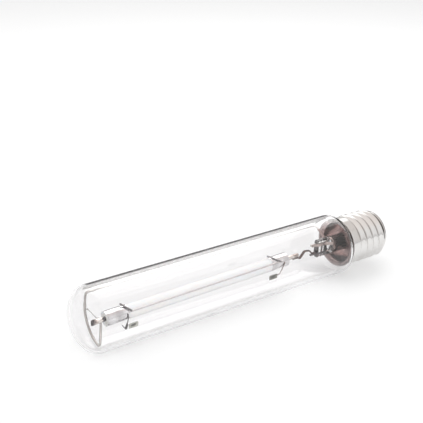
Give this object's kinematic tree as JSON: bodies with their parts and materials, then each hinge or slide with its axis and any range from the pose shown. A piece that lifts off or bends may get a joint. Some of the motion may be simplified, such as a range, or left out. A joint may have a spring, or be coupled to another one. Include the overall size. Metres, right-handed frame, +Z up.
{
  "type": "high pressure sodium lamp",
  "caption": "Clear tubular high pressure sodium lamp with a slim ceramic arc tube on a wire frame and a large nickel-plated screw cap.",
  "frame": {"origin": "centre of the footprint of the lamp lying on its side, on the surface it rests on", "axes": "+X along the lamp's axis from the dome end to the cap, +Z up, the lamp lies along X"},
  "size_m": [0.285, 0.048, 0.048],
  "materials": {
    "clear_glass": "clear, smooth",
    "getter_film": "dark metallic mirror film",
    "nickel_wire": "drawn nickel wire",
    "dark_metal": "dull grey molybdenum",
    "copper_wire": "bare copper-clad wire",
    "arc_ceramic": "translucent sintered alumina",
    "plug_ceramic": "white alumina",
    "niobium": "warm grey drawn tube",
    "shield_foil": "bright thin foil",
    "antenna_wire": "dull purple-grey wire",
    "getter_steel": "pressed sheet",
    "plated_shell": "bright nickel plating",
    "cement": "matte baked cement",
    "black_glass": "glossy black glass",
    "contact_brass": "plain brass disc",
    "solder": "soft solder, satin"
  },
  "bodies": {
    "root": {"outer_bulb": "clear_glass", "getter_film": "getter_film", "stem_glass": "clear_glass", "exhaust_tube": "clear_glass", "stem_collar": "nickel_wire", "frame_lead": "dark_metal", "arc_lead": "dark_metal", "side_lead": "copper_wire", "centre_lead": "copper_wire", "frame_ribbon": "dark_metal", "frame_wire": "nickel_wire", "cap_end_strap": "dark_metal", "jumper_wire": "nickel_wire", "arc_tube": "arc_ceramic", "dome_end_plug": "plug_ceramic", "cap_end_plug": "plug_ceramic", "dome_niobium_tube": "niobium", "cap_niobium_tube": "niobium", "dome_electrode": "dark_metal", "cap_electrode": "dark_metal", "dome_end_shield": "shield_foil", "cap_end_shield": "shield_foil", "antenna_wire": "antenna_wire", "dome_cross_bar": "dark_metal", "cap_cross_bar": "dark_metal", "dome_getter_wire": "nickel_wire", "dome_getter_plate": "getter_steel", "cap_getter_wire": "nickel_wire", "cap_getter_plate": "getter_steel", "cap_shell": "plated_shell", "capping_cement": "cement", "cap_insulator": "black_glass", "centre_contact": "contact_brass", "contact_solder": "solder"}
  },
  "joints": []
}
